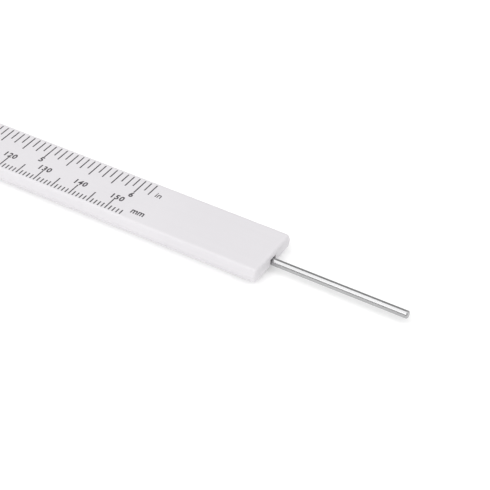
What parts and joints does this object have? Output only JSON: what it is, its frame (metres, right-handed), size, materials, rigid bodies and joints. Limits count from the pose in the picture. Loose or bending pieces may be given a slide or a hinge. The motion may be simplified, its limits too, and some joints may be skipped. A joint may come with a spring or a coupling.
{
  "type": "vernier caliper",
  "caption": "Plastic vernier caliper with outside and inside jaws, a lock screw, a thumb rest and a thin steel depth rod that slides out of the tail end.",
  "frame": {"origin": "on the back plane, on the rule's centre line, at the fixed outside jaw's measuring face", "axes": "+X along the rule from the jaws to the tail, +Y across the rule towards the inside jaws, +Z out of the printed face"},
  "size_m": [0.2571, 0.0747, 0.0068],
  "materials": {
    "white_plastic": "satin",
    "slide_plastic": "satin",
    "knob_plastic": "satin",
    "sheet_steel": "brushed",
    "polished_steel": "polished",
    "screw_steel": "satin",
    "spring_steel": "satin",
    "brass": "satin"
  },
  "bodies": {
    "rule": {"beam": "white_plastic", "tail_stop": "sheet_steel", "tail_stop_screws": "screw_steel"},
    "slider": {"slider": "white_plastic", "back_plate": "sheet_steel", "back_plate_screws": "screw_steel", "depth_rod": "polished_steel", "rod_rivets": "screw_steel", "leaf_spring": "spring_steel", "gib_set_screws": "screw_steel", "lock_insert": "brass"},
    "gib": {"gib_strip": "slide_plastic"},
    "lock_screw": {"lock_stud": "screw_steel", "lock_knob": "knob_plastic"}
  },
  "joints": [
    {"name": "jaw_slide", "type": "slide", "parent": "rule", "child": "slider", "axis": [1, 0, 0], "range_m": [-0.033, 0.117]},
    {"name": "lock_screw_turn", "type": "hinge", "parent": "slider", "child": "lock_screw", "pos_m": [0.063, 0.0172, 0.0031], "axis": [0, -1, 0], "range_deg": [0, 90]},
    {"name": "gib_press", "type": "slide", "parent": "slider", "child": "gib", "axis": [0, -1, 0], "range_m": [0, 0.0001125]}
  ],
  "couplings": [
    {"joint": "lock_screw_turn", "follows": "gib_press", "rad_per_m": 13963}
  ]
}
